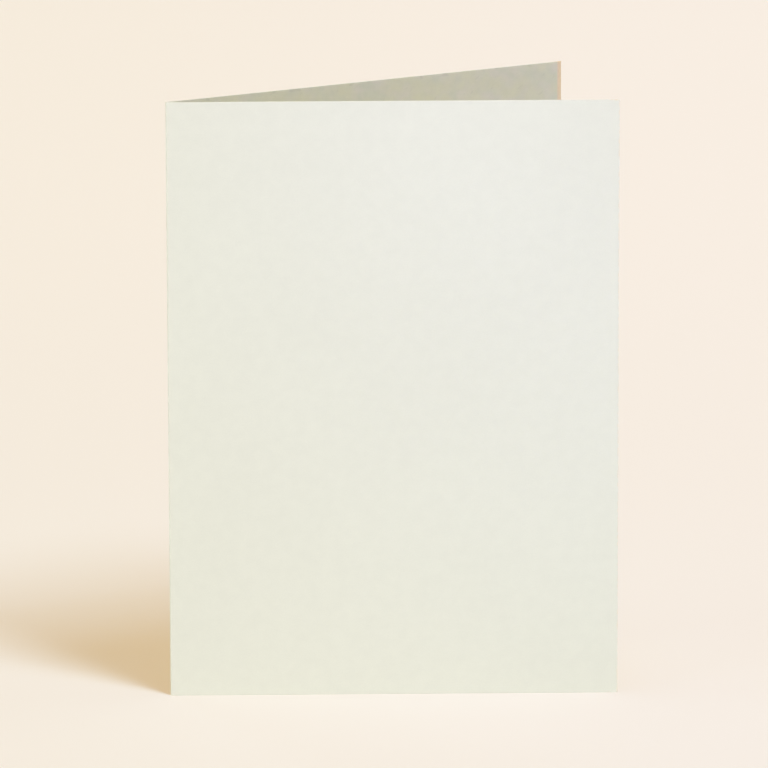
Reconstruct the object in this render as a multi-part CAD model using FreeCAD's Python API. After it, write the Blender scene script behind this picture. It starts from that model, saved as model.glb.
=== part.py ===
import FreeCAD, Part
import math
import os

# A blank greeting card: one sheet of heavy uncoated card, scored, folded once and
# stood open on its bottom edge. Sizes are in millimetres and angles in degrees.
# The fold runs along +Z at the left, the front leaf faces -Y, and the origin is
# the middle of the card's footprint, on the surface that it stands on.

# The sheet
card_height = 158.75
leaf_width = 117.475
sheet_thickness = 0.35

# How far the leaves stand open
opening_angle = 27.0

# The fold and the score line pressed into its outer side
fold_inner_radius = 0.15
score_depth = 0.05
score_reach = 0.45
score_ramp = 0.2

# The free edges are trimmed on a slant, so the inner face ends short of the outer face
edge_slant = 0.9

# Distances of the sheet's faces from the axis that it bends about
inner_offset = fold_inner_radius
outer_offset = fold_inner_radius + sheet_thickness
score_offset = outer_offset - score_depth

# Length of a flat leaf, from the axis of the bend to the free edge
leaf_run = leaf_width - score_offset


def front_point(run, offset):
    """Point of the front leaf's section: run along the leaf, offset outward from the bend's axis."""
    half_angle = math.radians(opening_angle / 2)
    x = run * math.cos(half_angle) - offset * math.sin(half_angle)
    y = -run * math.sin(half_angle) - offset * math.cos(half_angle)
    return FreeCAD.Vector(x, y, 0)


def back_point(run, offset):
    """The same point of the back leaf, which mirrors the front leaf across the fold."""
    point = front_point(run, offset)
    return FreeCAD.Vector(point.x, -point.y, 0)


def bend(start, radius, end):
    """Arc round the bend's axis, on the side away from the leaves."""
    return Part.Arc(start, FreeCAD.Vector(-radius, 0, 0), end).toShape()


def leaf_outer_lines(point):
    """Outer side of one leaf: flat face, ramp into the score, and the score's floor."""
    corners = [
        point(leaf_run, outer_offset),
        point(score_reach + score_ramp, outer_offset),
        point(score_reach, score_offset),
        point(0, score_offset),
    ]
    return [Part.makeLine(start, end) for start, end in zip(corners, corners[1:])]


def leaf_inner_lines(point):
    """Inner side of one leaf: flat face and the slanted free edge."""
    corners = [
        point(0, inner_offset),
        point(leaf_run - edge_slant, inner_offset),
        point(leaf_run, outer_offset),
    ]
    return [Part.makeLine(start, end) for start, end in zip(corners, corners[1:])]


def card_section():
    """Closed outline of the sheet in plan, symmetric about the X axis, fold to the left."""
    edges = []
    for point in (front_point, back_point):
        edges += leaf_outer_lines(point)
        edges += leaf_inner_lines(point)
    edges.append(bend(front_point(0, score_offset), score_offset, back_point(0, score_offset)))
    edges.append(bend(front_point(0, inner_offset), inner_offset, back_point(0, inner_offset)))
    return Part.Wire(Part.__sortEdges__(edges))


def folded_card():
    """The sheet at full height, turned so that its front leaf is square to the Y axis."""
    sheet = Part.Face(card_section()).extrude(FreeCAD.Vector(0, 0, card_height))
    up = FreeCAD.Vector(0, 0, 1)
    sheet.rotate(FreeCAD.Vector(0, 0, 0), up, opening_angle / 2)
    middle = sheet.BoundBox.Center
    sheet.translate(FreeCAD.Vector(-middle.x, -middle.y, 0))
    return sheet


os.makedirs("parts", exist_ok=True)
card = folded_card()
card.exportStep("parts/folded_card.step")
box = card.BoundBox
print("valid", card.isValid(), "solids", len(card.Solids), "volume", round(card.Volume, 2))
print("x", round(box.XMin, 3), round(box.XMax, 3), "y", round(box.YMin, 3), round(box.YMax, 3))
print("z", round(box.ZMin, 3), round(box.ZMax, 3))
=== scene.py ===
import math
from functools import partial
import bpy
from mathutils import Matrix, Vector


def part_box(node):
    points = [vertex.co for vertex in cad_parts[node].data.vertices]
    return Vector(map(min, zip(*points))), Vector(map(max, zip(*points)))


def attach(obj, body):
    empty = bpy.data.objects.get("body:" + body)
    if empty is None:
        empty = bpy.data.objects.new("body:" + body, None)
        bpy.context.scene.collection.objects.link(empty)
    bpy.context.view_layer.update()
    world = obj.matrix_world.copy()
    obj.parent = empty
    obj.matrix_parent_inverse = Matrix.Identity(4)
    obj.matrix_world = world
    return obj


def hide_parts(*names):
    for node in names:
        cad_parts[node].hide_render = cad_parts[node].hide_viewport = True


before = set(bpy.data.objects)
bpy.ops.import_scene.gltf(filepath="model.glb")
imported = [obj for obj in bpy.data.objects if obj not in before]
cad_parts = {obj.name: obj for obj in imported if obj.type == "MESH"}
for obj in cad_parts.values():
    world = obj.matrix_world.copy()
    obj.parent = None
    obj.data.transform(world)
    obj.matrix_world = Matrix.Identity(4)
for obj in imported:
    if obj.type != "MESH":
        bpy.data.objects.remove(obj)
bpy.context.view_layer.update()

from types import SimpleNamespace

import bmesh
import bpy
from mathutils import Matrix, Vector, noise

# Lengths are in metres. MM lets small ones be written as they are measured.
MM = 0.001

# The sheet, as the solid has it
NODE = "folded_card"
opening_angle = math.radians(27.0)
sheet_thickness = 0.35 * MM
fold_inner_radius = 0.15 * MM
score_depth = 0.05 * MM
score_reach = 0.45 * MM
score_ramp = 0.2 * MM
edge_slant = 0.9 * MM

box_low, box_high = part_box(NODE)
card_height = box_high.z - box_low.z
leaf_width = box_high.x - box_low.x

outer_offset = fold_inner_radius + sheet_thickness
score_offset = outer_offset - score_depth
leaf_run = leaf_width - score_offset
fold_axis = Vector((box_low.x + score_offset, box_low.y + outer_offset, 0))
bend_angle = math.pi - opening_angle
bend_half_length = (fold_inner_radius + sheet_thickness / 2) * bend_angle / 2

# How finely the sheet is meshed
row_step = 1.5 * MM
first_column_step = 0.1 * MM
column_growth = 1.12
bend_columns = 18

# The cut edges are softened over rim_softness from each face, with a point at rim_corner on the way and a row
# at rim_support beyond. The slant of a free edge ends in a blunt rim, rim_blunt thick, at the outer face.
rim_softness = 0.05 * MM
rim_corner = 0.3 * rim_softness
rim_support = 0.08 * MM
rim_blunt = 0.03 * MM

# The leaves are not perfectly flat: they waver inward by waver_depth, over waves of waver_length, and only
# beyond waver_start from the bend. waver_shift gives each leaf waves of its own.
waver_depth = 0.05 * MM
waver_length = 42 * MM
waver_start = 30 * MM
waver_shift = 7.3


def smooth_step(low, high, value):
    """0 below low, 1 above high, with a smooth rise between."""
    share = min(max((value - low) / (high - low), 0.0), 1.0)
    return share * share * (3 - 2 * share)


def leaf_axes(side):
    """Direction along a leaf from the fold, and its outward normal. side is -1 for the front leaf and 1 for
    the back leaf."""
    if side < 0:
        return Vector((1, 0, 0)), Vector((0, -1, 0))
    along = Vector((math.cos(opening_angle), math.sin(opening_angle), 0))
    outward = Vector((-math.sin(opening_angle), math.cos(opening_angle), 0))
    return along, outward


def waver(side, run, height):
    """How far a leaf's middle lies inside its flat plane at this place, in metres."""
    place = Vector((run / waver_length, height / waver_length, waver_shift * side))
    wave = 0.5 + 0.5 * noise.noise(place)
    return waver_depth * wave * smooth_step(0, waver_start, run)


def score_groove(run):
    """Depth of the score's groove in the outer face."""
    return score_depth * (1 - smooth_step(score_reach, score_reach + score_ramp, run))


def leaf_point(side, share, depth, height):
    """Place and flat-sheet coordinates of a point of a leaf. share is 0 at the bend and 1 at the free edge,
    depth is 0 on the inner face and the sheet's thickness on the outer face."""
    slant_share = max(0.0, 1 - depth / (sheet_thickness - rim_blunt))
    run = share * (leaf_run - edge_slant * slant_share)
    along, outward = leaf_axes(side)
    depth_share = depth / sheet_thickness
    offset = fold_inner_radius + depth - score_groove(run) * depth_share - waver(side, run, height)
    place = fold_axis + along * run + outward * offset + Vector((0, 0, height))
    return place, Vector((side * (run + bend_half_length), height, depth))


def bend_point(turn, depth, height):
    """The same for the bend. turn is 0 where the front leaf ends and 1 where the back leaf starts."""
    angle = -math.pi / 2 - turn * bend_angle
    depth_share = depth / sheet_thickness
    radius = fold_inner_radius + depth - score_depth * depth_share
    place = fold_axis + Vector((math.cos(angle), math.sin(angle), 0)) * radius + Vector((0, 0, height))
    return place, Vector(((2 * turn - 1) * bend_half_length, height, depth))


def leaf_shares():
    """Places of a leaf's columns from the bend to the free edge: close together at both ends."""
    shares = []
    run = 0.0
    step = first_column_step
    while run < leaf_run / 2:
        run += step
        step = min(step * column_growth, row_step)
        shares.append(run / leaf_run)
    closest = shares[-1] + step / leaf_run / 2
    mirrored = [1 - share for share in reversed(shares) if 1 - share > closest]
    return shares + mirrored + [1.0]


def sheet_columns():
    """The sheet's columns from one free edge to the other. Each places a point from its depth and height."""
    shares = leaf_shares()
    columns = [partial(leaf_point, -1, share) for share in reversed(shares)]
    columns += [partial(bend_point, turn / bend_columns) for turn in range(bend_columns + 1)]
    columns += [partial(leaf_point, 1, share) for share in shares]
    return columns


def height_rows():
    """Heights of the rows on a face, with one extra row next to each softened rim."""
    low = rim_softness + rim_support
    high = card_height - rim_softness - rim_support
    count = round((high - low) / row_step)
    step = (high - low) / count
    rows = [low + step * index for index in range(count + 1)]
    return [rim_softness] + rows + [card_height - rim_softness]


def rim_depths():
    """Depths of the points on a rim, between the inner and the outer face."""
    near_inner = [rim_corner, rim_softness]
    near_outer = [sheet_thickness - depth for depth in reversed(near_inner)]
    return near_inner + [sheet_thickness / 2] + near_outer


def rim_drop(depth):
    """How far the sheet's softened cut edge lies below the cut's flat middle, at this depth in the sheet."""
    from_face = min(depth, sheet_thickness - depth)
    if from_face >= rim_softness:
        return 0.0
    share = 1 - from_face / rim_softness
    return rim_softness * (1 - math.sqrt(1 - share * share))


class SheetGrid:
    """Points and faces of the sheet: a closed ring of points for each column, and a cut face at each end."""

    def __init__(self):
        self.rows = height_rows()
        self.depths = rim_depths()
        self.points = []
        self.flat = []
        self.faces = []
        self.sharp = set()

        ring = [(0.0, height) for height in self.rows]
        ring += [(depth, card_height - rim_drop(depth)) for depth in self.depths]
        ring += [(sheet_thickness, height) for height in reversed(self.rows)]
        ring += [(depth, rim_drop(depth)) for depth in reversed(self.depths)]
        self.ring_size = len(ring)

        columns = sheet_columns()
        for column in columns:
            for depth, height in ring:
                self.add_point(column, depth, height)
        for number in range(len(columns) - 1):
            self.join_rings(number * self.ring_size)
        self.add_cut_face(columns[0], 0)
        self.add_cut_face(columns[-1], (len(columns) - 1) * self.ring_size)

    def add_point(self, column, depth, height):
        place, sheet_place = column(depth, height)
        self.points.append(place)
        self.flat.append(sheet_place)
        return len(self.points) - 1

    def join_rings(self, here):
        """Faces between the ring that starts at this point and the next one."""
        there = here + self.ring_size
        for index in range(self.ring_size):
            after = (index + 1) % self.ring_size
            self.faces.append((here + index, here + after, there + after, there + index))

    def add_cut_face(self, column, start):
        """The face that closes a free edge, as lines of points from the inner side to the outer side."""
        count = len(self.rows)
        top_rim = start + count
        inner_side = [start + index for index in range(count)]
        outer_side = [top_rim + len(self.depths) + index for index in reversed(range(count))]
        lines = [inner_side]
        for number, depth in enumerate(self.depths):
            foot = start + self.ring_size - 1 - number
            between = [self.add_point(column, depth, height) for height in self.rows[1:-1]]
            lines.append([foot] + between + [top_rim + number])
        lines.append(outer_side)
        for left, right in zip(lines, lines[1:]):
            for index in range(count - 1):
                self.faces.append((left[index], left[index + 1], right[index + 1], right[index]))
        for side in (inner_side, outer_side):
            self.sharp.update(frozenset(pair) for pair in zip(side, side[1:]))


def card_mesh():
    """The folded sheet, with its flat-sheet coordinates as an attribute and sharp edges at the free edges."""
    grid = SheetGrid()
    mesh = bpy.data.meshes.new("card_sheet")
    mesh.from_pydata(grid.points, [], grid.faces)
    mesh.validate()
    sheet_attribute = mesh.attributes.new("sheet", "FLOAT_VECTOR", "POINT")
    sheet_attribute.data.foreach_set("vector", [value for place in grid.flat for value in place])
    work = bmesh.new()
    work.from_mesh(mesh)
    bmesh.ops.recalc_face_normals(work, faces=work.faces)
    work.to_mesh(mesh)
    work.free()
    mesh.shade_smooth()
    sharp_attribute = mesh.attributes.new("sharp_edge", "BOOLEAN", "EDGE")
    is_sharp = [frozenset(edge.vertices) in grid.sharp for edge in mesh.edges]
    sharp_attribute.data.foreach_set("value", is_sharp)
    return mesh


class Nodes:
    """Short calls that add shader nodes to one material or world and give back their output sockets."""

    def __init__(self, tree):
        self.tree = tree
        tree.nodes.clear()

    def feed(self, socket, value):
        if isinstance(value, bpy.types.NodeSocket):
            self.tree.links.new(value, socket)
        else:
            socket.default_value = value

    def add(self, kind, **settings):
        node = self.tree.nodes.new(kind)
        for name, value in settings.items():
            setattr(node, name, value)
        return node

    def math(self, operation, first, second=0.0, clamp=False):
        node = self.add("ShaderNodeMath", operation=operation, use_clamp=clamp)
        self.feed(node.inputs[0], first)
        self.feed(node.inputs[1], second)
        return node.outputs[0]

    def add_up(self, first, *others):
        for other in others:
            first = self.math("ADD", first, other)
        return first

    def multiply(self, first, second):
        return self.math("MULTIPLY", first, second)

    def largest(self, first, *others):
        for other in others:
            first = self.math("MAXIMUM", first, other)
        return first

    def split(self, vector):
        node = self.add("ShaderNodeSeparateXYZ")
        self.feed(node.inputs[0], vector)
        return node.outputs

    def ramp(self, value, low, high, out_low=0.0, out_high=1.0):
        """Smooth change from out_low to out_high as value goes from low to high."""
        node = self.add("ShaderNodeMapRange", interpolation_type="SMOOTHSTEP")
        for socket, number in zip(node.inputs, (value, low, high, out_low, out_high)):
            self.feed(socket, number)
        return node.outputs[0]

    def swing(self, pattern, low, high, amount):
        """Smooth change from -amount to amount as a pattern goes from low to high."""
        return self.ramp(pattern, low, high, -amount, amount)

    def noise(self, place, per_metre, detail=2.0, roughness=0.5):
        node = self.add("ShaderNodeTexNoise")
        self.feed(node.inputs["Vector"], place)
        node.inputs["Scale"].default_value = per_metre
        node.inputs["Detail"].default_value = detail
        node.inputs["Roughness"].default_value = roughness
        return node.outputs["Fac"]

    def turned(self, place, degrees, stretch=(1.0, 1.0, 1.0)):
        """place turned in the sheet's plane, then divided by stretch, so that a noise of it is drawn out."""
        node = self.add("ShaderNodeMapping", vector_type="TEXTURE")
        self.feed(node.inputs["Vector"], place)
        node.inputs["Rotation"].default_value = (0, 0, math.radians(degrees))
        node.inputs["Scale"].default_value = stretch
        return node.outputs[0]

    def mix(self, share, first, second):
        node = self.add("ShaderNodeMix", data_type="RGBA")
        self.feed(node.inputs["Factor"], share)
        self.feed(node.inputs["A"], first)
        self.feed(node.inputs["B"], second)
        return node.outputs["Result"]

    def scaled(self, colour, factor):
        node = self.add("ShaderNodeVectorMath", operation="SCALE")
        self.feed(node.inputs[0], colour)
        self.feed(node.inputs["Scale"], factor)
        return node.outputs[0]

    def times(self, colour, factors):
        node = self.add("ShaderNodeVectorMath", operation="MULTIPLY")
        self.feed(node.inputs[0], colour)
        self.feed(node.inputs[1], factors)
        return node.outputs[0]


def to_linear(*levels):
    """Linear colour of the 8-bit levels that a picture shows."""
    linear = []
    for level in levels:
        share = level / 255
        linear.append(share / 12.92 if share <= 0.04045 else ((share + 0.055) / 1.055) ** 2.4)
    return (*linear, 1.0)


# The paper's colours. The core shows where a skin is worn and on the cut faces; near the free edges it is
# drawn peach, as painted warm shade.
outer_colour = to_linear(236, 236, 219)
# The inner side's greys are darker and yellower than the outer side: partly the sheet's duller reverse,
# partly painted shade for the inside of the fold.
inner_green_and_shade = to_linear(222.8, 222.0, 197.8)
inner_pink_and_shade = to_linear(229.6, 224.4, 204.2)
inner_yellow_and_shade = to_linear(228, 225, 195.5)
core_colour = to_linear(237, 233, 215)
# Peach tone at the free edges: painted warm shade on the cut faces and on the inner strip beside them.
edge_warm_shade_colour = to_linear(247, 223, 186)

# The skins reach this deep into the sheet, and are whole down to the first of the two depths
whole_skin = 0.015 * MM
skin_depth = 0.05 * MM


def places_on_sheet(n):
    """Where on the sheet a point lies: in which skin, and how far from the fold and from the cut edges."""
    at = SimpleNamespace()
    at.sheet = n.add("ShaderNodeAttribute", attribute_name="sheet").outputs["Vector"]
    across, up, depth = n.split(at.sheet)
    at.inner = n.ramp(depth, whole_skin, skin_depth, 1.0, 0.0)
    at.outer = n.ramp(depth, sheet_thickness - skin_depth, sheet_thickness - whole_skin)
    at.from_fold = n.math("ABSOLUTE", across)
    at.to_side = n.math("SUBTRACT", leaf_run + bend_half_length, at.from_fold)
    at.to_top = n.math("SUBTRACT", card_height, up)
    at.to_cut = n.math("MINIMUM", n.math("MINIMUM", up, at.to_top), at.to_side)
    return at


def fibre_marks(n, at):
    """Short fibres: three sets of drawn-out noise that cross each other."""
    fibre_angles = (12, 71, 133)
    fibre_width = 0.09
    sets = []
    for angle in fibre_angles:
        drawn = n.turned(at.sheet, angle, (1.0, fibre_width, 1.0))
        sets.append(n.ramp(n.noise(drawn, per_metre=900, roughness=0.6), 0.56, 0.72))
    return n.largest(*sets)


def paper_tone(n, at, fibres):
    """Lightness of the whole sheet, near 1: slow drift, cloudy formation, fibres and fine grain."""
    drift_depth = 0.006
    cloud_depth = 0.010
    fibre_depth = 0.012
    grain_depth = 0.008
    drift = n.swing(n.noise(at.sheet, per_metre=16, detail=1.0), 0.3, 0.7, drift_depth)
    clouds = n.swing(n.noise(at.sheet, per_metre=280, detail=3.0, roughness=0.6), 0.25, 0.75, cloud_depth)
    grain = n.swing(n.noise(at.sheet, per_metre=2600), 0.25, 0.75, grain_depth)
    return n.add_up(drift, clouds, n.multiply(fibres, fibre_depth), grain, 1.0)


def inner_tone(n, at):
    """What the inner side adds to the tone: mottling, darker flecks, and nicks along its top edge."""
    mottle_depth = 0.014
    fleck_depth = 0.05
    nick_depth = 0.08
    mottle = n.swing(n.noise(at.sheet, per_metre=430, detail=3.0, roughness=0.6), 0.3, 0.7, mottle_depth)
    fleck_noise = n.noise(n.turned(at.sheet, 40, (1.0, 0.35, 1.0)), per_metre=300, detail=1.0)
    flecks = n.ramp(fleck_noise, 0.66, 0.76, 0.0, fleck_depth)
    nick_noise = n.noise(n.turned(at.sheet, 0, (1.6, 1.0, 1.0)), per_metre=420, detail=1.0)
    nicks = n.ramp(nick_noise, 0.58, 0.68, 0.0, nick_depth)
    near_top = n.ramp(at.to_top, 0.5 * MM, 1.1 * MM, 1.0, 0.0)
    marks = n.add_up(flecks, n.multiply(nicks, near_top))
    return n.multiply(n.math("SUBTRACT", mottle, marks), at.inner)


def skin_colour_and_inner_shade(n, at):
    """The outer side has one colour. The inner side drifts between greenish, pinkish and yellowish greys,
    drawn darker than the outer: partly the sheet's duller reverse, partly painted shade inside the fold.
    """
    pink_share = n.ramp(n.noise(at.sheet, per_metre=210, roughness=0.6), 0.35, 0.65)
    yellow_place = n.turned(at.sheet, degrees=57.3)
    yellow_share = n.ramp(n.noise(yellow_place, per_metre=130, roughness=0.6), 0.35, 0.65)
    inner_colour_and_shade = n.mix(yellow_share, n.mix(pink_share, inner_green_and_shade, inner_pink_and_shade), inner_yellow_and_shade)
    return n.mix(at.outer, inner_colour_and_shade, outer_colour)


def bare_and_warm_shade_share(n, at):
    """How far the core shows: in fine cracks along the fold, along rubbed edges and on the cut faces. A strip
    of the inner side along each free edge is also drawn as core, as painted warm shade.
    """
    fold_wear = 0.35
    edge_wear = 0.45
    margin_warm_shade = 0.9
    cracks = n.ramp(n.noise(n.turned(at.sheet, 0, (0.25, 1.0, 1.0)), per_metre=1500), 0.56, 0.66)
    near_fold = n.ramp(at.from_fold, 0.5 * MM, 1.0 * MM, fold_wear, 0.0)
    cracked = n.multiply(n.multiply(cracks, near_fold), at.outer)
    patchy = n.ramp(n.noise(at.sheet, per_metre=700), 0.35, 0.7)
    rubbed = n.multiply(n.ramp(at.to_cut, 0.0, 0.4 * MM, edge_wear, 0.0), patchy)
    # Painted warm shade: the inner side's strip along each free edge is drawn in the peach core colour.
    warm_shade_strip = n.ramp(at.to_side, edge_slant + 0.1 * MM, edge_slant + 0.75 * MM, margin_warm_shade, 0.0)
    inner_warm_shade_strip = n.multiply(warm_shade_strip, at.inner)
    skins = n.math("ADD", at.inner, at.outer, clamp=True)
    return n.largest(cracked, rubbed, inner_warm_shade_strip, n.math("SUBTRACT", 1.0, skins))


def core_and_warm_shade_colour(n, at):
    """The core's colour, in faint layers, turning peach near the free edges as painted warm shade."""
    layers = n.noise(n.turned(at.sheet, 0, (1.0, 1.0, 0.05)), per_metre=900)
    layer_tone = n.ramp(layers, 0.3, 0.7, 0.95, 1.03)
    warm_shade_edge_share = n.ramp(at.to_side, 1.7 * MM, 3.0 * MM, 1.0, 0.0)
    return n.scaled(n.mix(warm_shade_edge_share, core_colour, edge_warm_shade_colour), layer_tone)


def paper_relief(n, at, tooth, fibres):
    """Normal of the surface with its tooth, felt marks and fibres."""
    tooth_weight = 0.6
    felt_weight = 0.9
    fibre_weight = 0.5
    relief_height = 0.004 * MM
    felt = n.noise(at.sheet, per_metre=900)
    relief = n.add_up(n.multiply(tooth, tooth_weight), n.multiply(felt, felt_weight))
    relief = n.add_up(relief, n.multiply(fibres, fibre_weight))
    bump = n.add("ShaderNodeBump")
    bump.inputs["Strength"].default_value = 1.0
    bump.inputs["Distance"].default_value = relief_height
    n.feed(bump.inputs["Height"], relief)
    return bump.outputs["Normal"]


def less_bounce(n, at, colour):
    """The outer side passes on less light to the floor than it shows, so the floor in front stays cream."""
    bounce_cut = 0.18
    bounced = n.add("ShaderNodeLightPath").outputs["Is Diffuse Ray"]
    held_back = n.multiply(n.multiply(bounced, at.outer), bounce_cut)
    return n.scaled(colour, n.math("SUBTRACT", 1.0, held_back))


def card_material():
    """Heavy uncoated card: pale skins with a fine tooth and short fibres, over a warmer core."""
    material = bpy.data.materials.new("uncoated_card")
    material.use_nodes = True
    n = Nodes(material.node_tree)
    at = places_on_sheet(n)
    fibres = fibre_marks(n, at)
    tone = n.add_up(paper_tone(n, at, fibres), inner_tone(n, at))
    colour = n.scaled(n.mix(bare_and_warm_shade_share(n, at), skin_colour_and_inner_shade(n, at), core_and_warm_shade_colour(n, at)), tone)

    # Dull paper, a little burnished along the score
    tooth = n.noise(at.sheet, per_metre=5200, roughness=0.6)
    dullness = n.ramp(tooth, 0.2, 0.8, 0.84, 0.94)
    burnish = n.ramp(at.from_fold, 0.4 * MM, 0.9 * MM, -0.14, 0.0)

    shader = n.add("ShaderNodeBsdfPrincipled")
    n.feed(shader.inputs["Base Color"], less_bounce(n, at, colour))
    n.feed(shader.inputs["Roughness"], n.add_up(dullness, burnish))
    n.feed(shader.inputs["Normal"], paper_relief(n, at, tooth, fibres))
    shader.inputs["Specular IOR Level"].default_value = 0.3
    shader.inputs["IOR"].default_value = 1.47
    output = n.add("ShaderNodeOutputMaterial")
    n.feed(output.inputs["Surface"], shader.outputs[0])
    return material


def make_card():
    """The visible card: the folded sheet with its material."""
    card = bpy.data.objects.new("card", card_mesh())
    bpy.context.scene.collection.objects.link(card)
    card.data.materials.append(card_material())
    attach(card, "root")
    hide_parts(NODE)


# The surroundings as the camera sees them: cream, a little cooler to the right and lighter far behind
backdrop_left = to_linear(245, 235, 220)
backdrop_right = to_linear(247, 237, 226)
backdrop_reach = 0.15
far_reach = 0.7
far_gain = 1.028

# Share of the floor's look that follows the light on it, for red, green and blue. The rest glows.
lit_share = (0.397, 0.595, 0.884)
glow_share = tuple(1 - share for share in lit_share)
floor_bounce_colour = (0.60, 0.57, 0.53, 1.0)
floor_half_size = 6.0


def seen_directly(n):
    """1 for rays from the camera, also by way of gloss or glass, and 0 for the rays that light things."""
    path = n.add("ShaderNodeLightPath").outputs
    return n.largest(path["Is Camera Ray"], path["Is Glossy Ray"], path["Is Transmission Ray"])


def floor_material():
    """Pale seamless floor. What the camera sees is part glow, so that a shadow on it is warm and not grey."""
    material = bpy.data.materials.new("floor_paper")
    material.use_nodes = True
    n = Nodes(material.node_tree)
    place = n.split(n.add("ShaderNodeNewGeometry").outputs["Position"])
    look = n.mix(n.ramp(place["X"], -backdrop_reach, backdrop_reach), backdrop_left, backdrop_right)
    look = n.scaled(look, n.ramp(place["Y"], 0.0, far_reach, 1.0, far_gain))

    lit = n.add("ShaderNodeBsdfDiffuse")
    n.feed(lit.inputs["Color"], n.times(look, lit_share))
    glow = n.add("ShaderNodeEmission")
    n.feed(glow.inputs["Color"], n.times(look, glow_share))
    seen = n.add("ShaderNodeAddShader")
    n.feed(seen.inputs[0], lit.outputs[0])
    n.feed(seen.inputs[1], glow.outputs[0])
    plain = n.add("ShaderNodeBsdfDiffuse")
    plain.inputs["Color"].default_value = floor_bounce_colour

    choose = n.add("ShaderNodeMixShader")
    n.feed(choose.inputs[0], seen_directly(n))
    n.feed(choose.inputs[1], plain.outputs[0])
    n.feed(choose.inputs[2], seen.outputs[0])
    output = n.add("ShaderNodeOutputMaterial")
    n.feed(output.inputs["Surface"], choose.outputs[0])
    return material


def make_floor():
    """A large flat floor that the card stands on."""
    half = floor_half_size
    mesh = bpy.data.meshes.new("floor")
    corners = [(-half, -half, 0), (half, -half, 0), (half, half, 0), (-half, half, 0)]
    mesh.from_pydata(corners, [], [(0, 1, 2, 3)])
    floor = bpy.data.objects.new("floor", mesh)
    floor.data.materials.append(floor_material())
    bpy.context.scene.collection.objects.link(floor)


def make_world():
    """A large soft light overhead and a weaker one behind. The camera sees the backdrop's colour."""
    overhead_level = 0.823
    overhead_focus = 4.0
    behind_level = 0.346
    behind_focus = 2.0
    world = bpy.data.worlds.new("studio")
    bpy.context.scene.world = world
    world.use_nodes = True
    n = Nodes(world.node_tree)
    direction = n.split(n.add("ShaderNodeTexCoord").outputs["Generated"])
    overhead = n.math("POWER", n.math("MAXIMUM", direction["Z"], 0.0), overhead_focus)
    behind = n.math("POWER", n.math("MAXIMUM", direction["Y"], 0.0), behind_focus)
    level = n.add_up(n.multiply(overhead, overhead_level), n.multiply(behind, behind_level))
    light = n.scaled((1.0, 1.0, 1.0), level)
    background = n.add("ShaderNodeBackground")
    n.feed(background.inputs["Color"], n.mix(seen_directly(n), light, backdrop_left))
    output = n.add("ShaderNodeOutputWorld")
    n.feed(output.inputs["Surface"], background.outputs[0])


def toward(azimuth, elevation):
    """Direction of a light seen from the card. Azimuth 0 is the front, and positive is to the right."""
    flat = math.cos(math.radians(elevation))
    turn = math.radians(azimuth)
    return Vector((math.sin(turn) * flat, -math.cos(turn) * flat, math.sin(math.radians(elevation))))


def place_lamp(name, data, back):
    """Put a lamp in the scene. back is the direction that it shines away from."""
    lamp = bpy.data.objects.new(name, data)
    lamp.rotation_mode = "QUATERNION"
    lamp.rotation_quaternion = back.to_track_quat("Z", "Y")
    bpy.context.scene.collection.objects.link(lamp)
    return lamp


def make_sun(name, azimuth, elevation, spread, level):
    """A far white lamp. level is how bright it makes a white surface that faces it. spread is its width in
    degrees."""
    data = bpy.data.lights.new(name, "SUN")
    data.energy = level * math.pi
    data.angle = math.radians(spread)
    place_lamp(name, data, toward(azimuth, elevation))


def make_panel(name, place, target, width, height, watts, colour, spread):
    """A flat lamp that the camera does not see, turned to a target. spread is its beam's width in degrees."""
    data = bpy.data.lights.new(name, "AREA")
    data.shape = "RECTANGLE"
    data.size = width
    data.size_y = height
    data.energy = watts
    data.color = colour
    data.spread = math.radians(spread)
    lamp = place_lamp(name, data, Vector(place) - Vector(target))
    lamp.location = place
    lamp.visible_camera = False


def make_suns():
    """One tall soft key from the front right, in two parts, and a low light from behind on the left."""
    key_azimuth = 42
    key_spread = 18
    make_sun("key_low", key_azimuth, elevation=50, spread=key_spread, level=0.414)
    make_sun("key_high", key_azimuth, elevation=64, spread=key_spread, level=0.342)
    make_sun("behind", azimuth=-153, elevation=4, spread=16, level=0.24)


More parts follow.
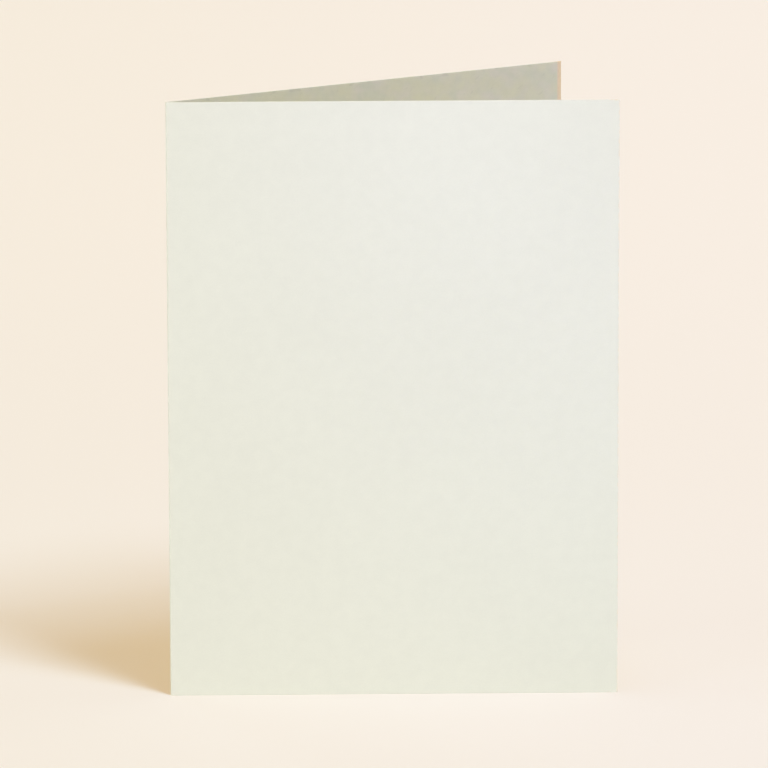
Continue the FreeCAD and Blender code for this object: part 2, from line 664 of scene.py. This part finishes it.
def make_fill():
    """A low wide panel on the left, which lights the fold's side of the front leaf."""
    make_panel("fill", place=(-2.20, -1.54, 0.12), target=(0, -0.03, 0.08), width=1.04, height=0.21,
               watts=34.2, colour=(1.0, 1.0, 0.99), spread=180)


def make_tint_lamps():
    """Small faint lamps close in front, which make parts of the front leaf a little cooler. Each one faces a
    place on that leaf."""
    lamp_y = -0.20
    leaf_y = -0.027
    make_panel("front_high", place=(0.10, lamp_y, 0.15), target=(0.04, leaf_y, 0.15),
               width=0.08, height=0.06, watts=0.00768, colour=(0.63, 0.69, 1.0), spread=90)
    make_panel("front_low", place=(0.12, lamp_y, 0.045), target=(0.055, leaf_y, 0.045),
               width=0.08, height=0.06, watts=0.0052, colour=(0.45, 0.62, 1.0), spread=80)
    make_panel("top", place=(0, lamp_y, 0.24), target=(0, leaf_y, 0.16),
               width=0.08, height=0.08, watts=0.0076, colour=(0.36, 0.40, 1.0), spread=70)
    make_panel("side", place=(0.26, lamp_y, 0.16), target=(0.05, leaf_y, 0.10),
               width=0.08, height=0.08, watts=0.00772, colour=(0.0, 0.0, 1.0), spread=60)


def make_camera():
    """A long lens in front of the card and a little above it, looking down."""
    picture_side = 768
    focal_pixels = 8000
    place = (-0.0400, -2.0573, 0.5560)
    yaw = math.radians(1.06)
    pitch = math.radians(13.094)
    roll = math.radians(0.153)

    data = bpy.data.cameras.new("camera")
    data.sensor_width = 36.0
    data.lens = data.sensor_width * focal_pixels / picture_side
    data.clip_start = 0.1
    data.clip_end = 20.0
    camera = bpy.data.objects.new("camera", data)
    ahead = Vector((math.sin(yaw) * math.cos(pitch), math.cos(yaw) * math.cos(pitch), -math.sin(pitch)))
    level_right = Vector((math.cos(yaw), -math.sin(yaw), 0))
    level_down = ahead.cross(level_right)
    right = level_right * math.cos(roll) + level_down * math.sin(roll)
    up = right.cross(ahead)
    turn = Matrix((right, up, -ahead)).transposed()
    camera.matrix_world = Matrix.Translation(place) @ turn.to_4x4()
    bpy.context.scene.collection.objects.link(camera)
    bpy.context.scene.camera = camera


make_card()
make_floor()
make_world()
make_suns()
make_fill()
make_tint_lamps()
make_camera()
bpy.context.scene.view_settings.view_transform = "Standard"
